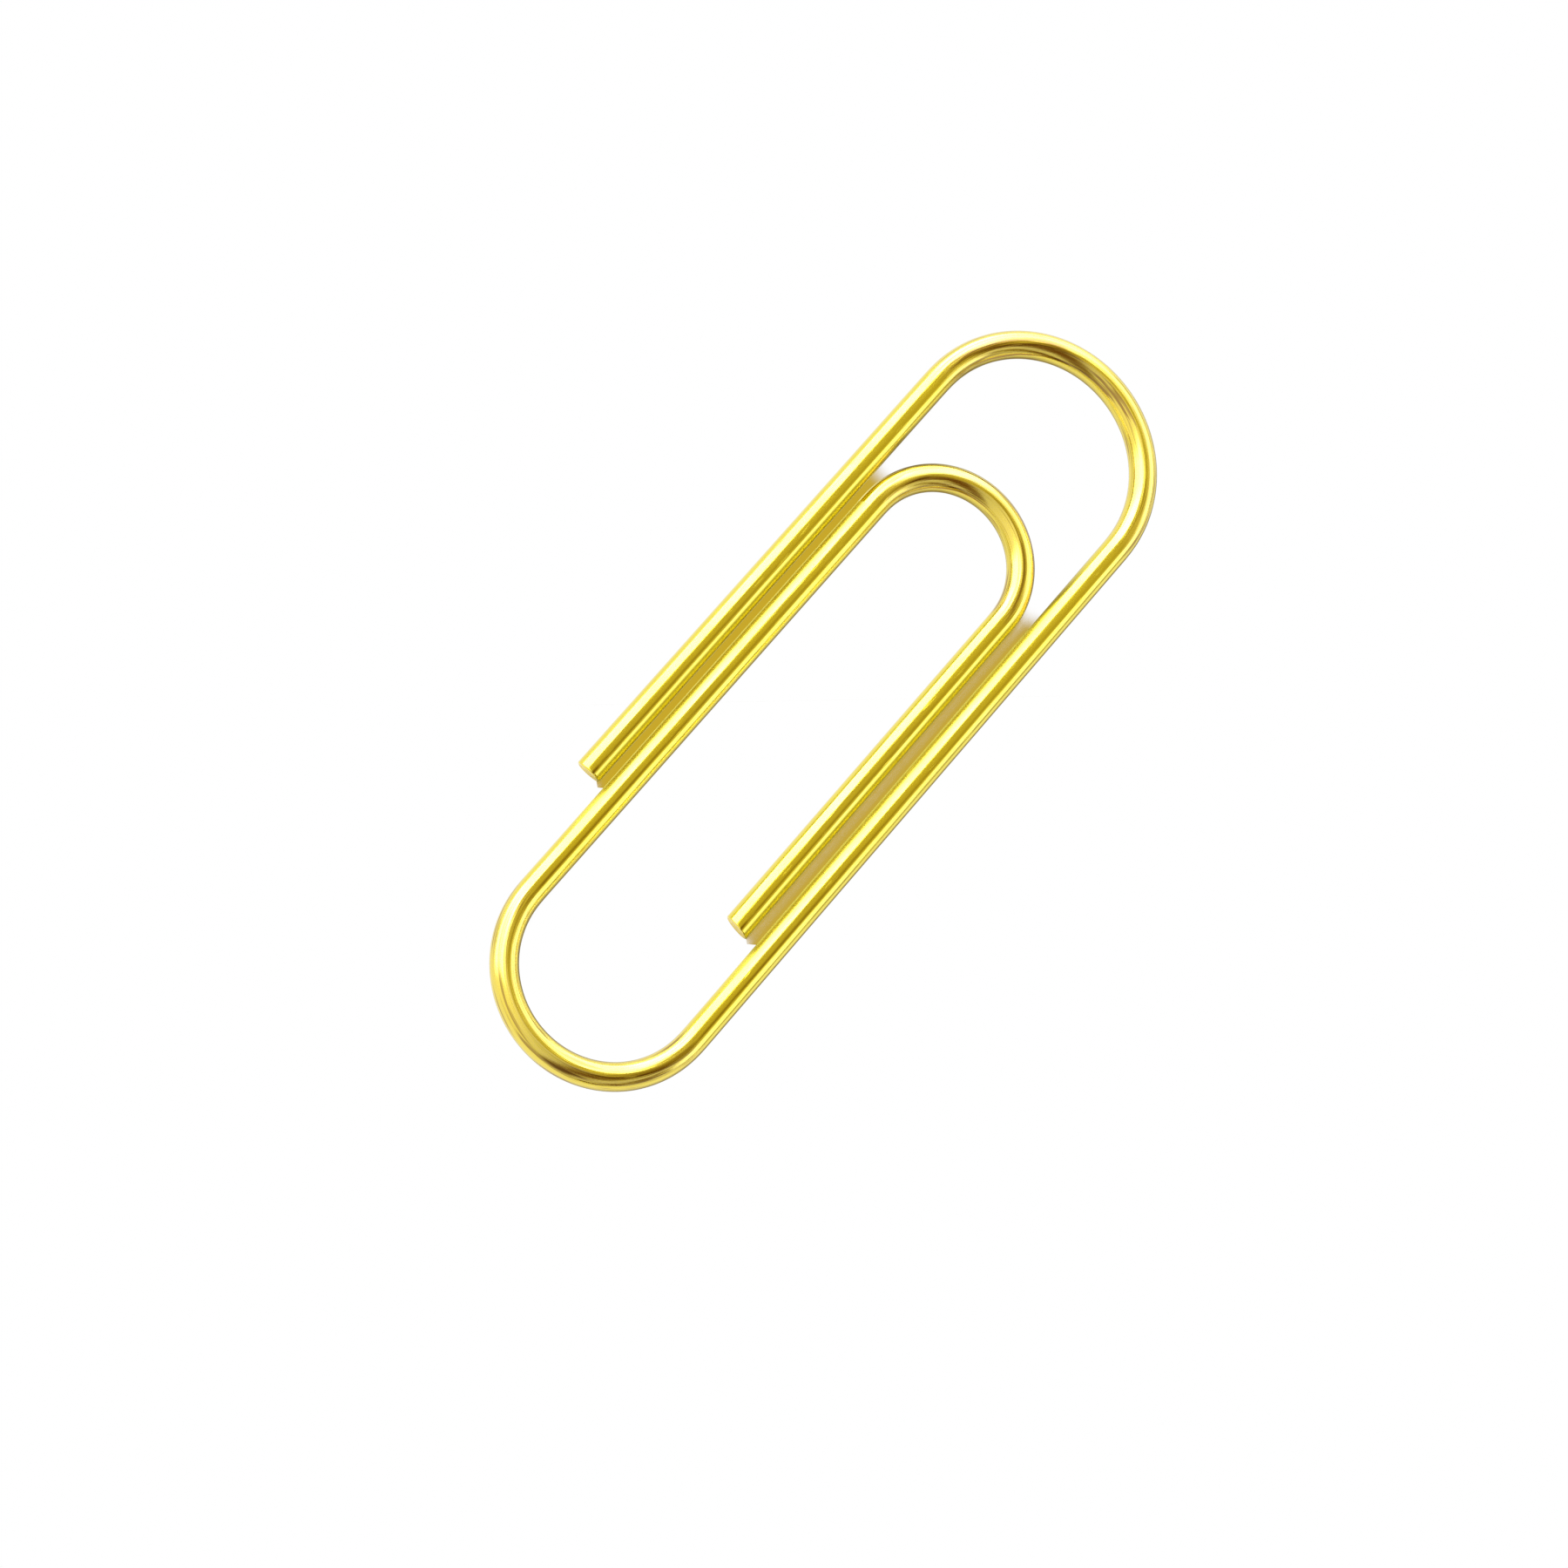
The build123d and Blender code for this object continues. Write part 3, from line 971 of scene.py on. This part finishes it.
window_sides = fade_round(tree, to_window, WINDOW_SIDES, SIDES_LEVEL)
window_middle = fade_round(tree, to_window, WINDOW_MIDDLE, MIDDLE_LEVEL)
window = combine(tree, "ADD", window_sides, window_middle)
window = combine(tree, "MULTIPLY", window, fade_up(tree, height, WINDOW_TOP))
strip = fade_round(tree, to_strip, STRIP_SIDES, STRIP_LEVEL)
strip = combine(tree, "MULTIPLY", strip, fade_up(tree, height, STRIP_TOP))
strip = combine(tree, "MULTIPLY", strip, fade_up(tree, height, STRIP_FOOT))
walls = ramp(tree, to_window, *WALL_TURN, *WALL_LEVELS)
under_strip = fade_round(tree, to_strip, STRIP_SIDES)
under_strip = combine(tree, "MULTIPLY", under_strip, fade_up(tree, height, UNDER_STRIP))
walls = combine(tree, "MULTIPLY", walls, ramp(tree, under_strip, 0.0, 1.0, 1.0, UNDER_STRIP_LEVEL))

beam = 1.0
for part, outside, inside in BEAM_SIDES:
    beam = combine(tree, "MULTIPLY", beam, ramp(tree, parts[part], outside, inside))
print("the room's lights take", len(tree.nodes), "nodes")

# %% Light: put together
WINDOW_COLOUR = (0.90, 1.0, 1.40, 1)
STRIP_COLOUR = (0.92, 1.0, 1.40, 1)
WALL_COLOUR = (1.0, 0.94, 0.90, 1)
CEILING_COLOUR = (1.0, 0.82, 0.20, 1)
CEILING_LEVEL = 0.52
DARK_COLOUR = (0.12, 0.04, 0.00, 1)
WHITE = (1, 1, 1, 1)
DARK_BARS = (              # middle and pole (azimuth, elevation), half width, half length and depth
    ((312, 52), (189, 23), 13, 52, 0.85),
    ((350, 62), (189, 23), 12, 30, 0.95),
    ((323, 16), (214, 48), 8, 56, 1.0),
)
BAR_CORE = 0.6             # share of a dark bar's width that is fully dark

lights = [
    new_node(tree, "ShaderNodeBackground", {"Color": colour, "Strength": level}).outputs[0]
    for colour, level in (
        (WALL_COLOUR, walls), (WINDOW_COLOUR, window), (STRIP_COLOUR, strip),
        (CEILING_COLOUR, CEILING_LEVEL), (DARK_COLOUR, 1.0), (WHITE, 1.0),
    )
]
wall_light, window_light, strip_light, ceiling_light, dark, backdrop = lights
studio = new_node(tree, "ShaderNodeAddShader", {0: wall_light, 1: window_light}).outputs[0]
studio = new_node(tree, "ShaderNodeAddShader", {0: studio, 1: strip_light}).outputs[0]
studio = new_node(tree, "ShaderNodeMixShader", {0: beam, 1: studio, 2: ceiling_light}).outputs[0]
for middle, pole, half_width, half_length, depth in DARK_BARS:
    beside = combine_vectors(tree, "DOT_PRODUCT", direction, compass_point(*pole), "Value")
    beside = combine(tree, "ABSOLUTE", beside, 0.0)
    towards = combine_vectors(tree, "DOT_PRODUCT", direction, compass_point(*middle), "Value")
    bar = ramp(tree, beside, sine(half_width), sine(BAR_CORE * half_width), 0.0, depth)
    bar_end = ramp(tree, towards, cosine(half_length), cosine(half_length / 2))
    bar = combine(tree, "MULTIPLY", bar, bar_end)
    studio = new_node(tree, "ShaderNodeMixShader", {0: bar, 1: studio, 2: dark}).outputs[0]
below = combine(tree, "LESS_THAN", height, 0.0)
all_round = new_node(tree, "ShaderNodeMixShader", {0: below, 1: studio, 2: backdrop}).outputs[0]
new_node(tree, "ShaderNodeOutputWorld", {"Surface": all_round})
bpy.context.scene.view_settings.view_transform = "Standard"
print("world has", len(tree.nodes), "nodes")
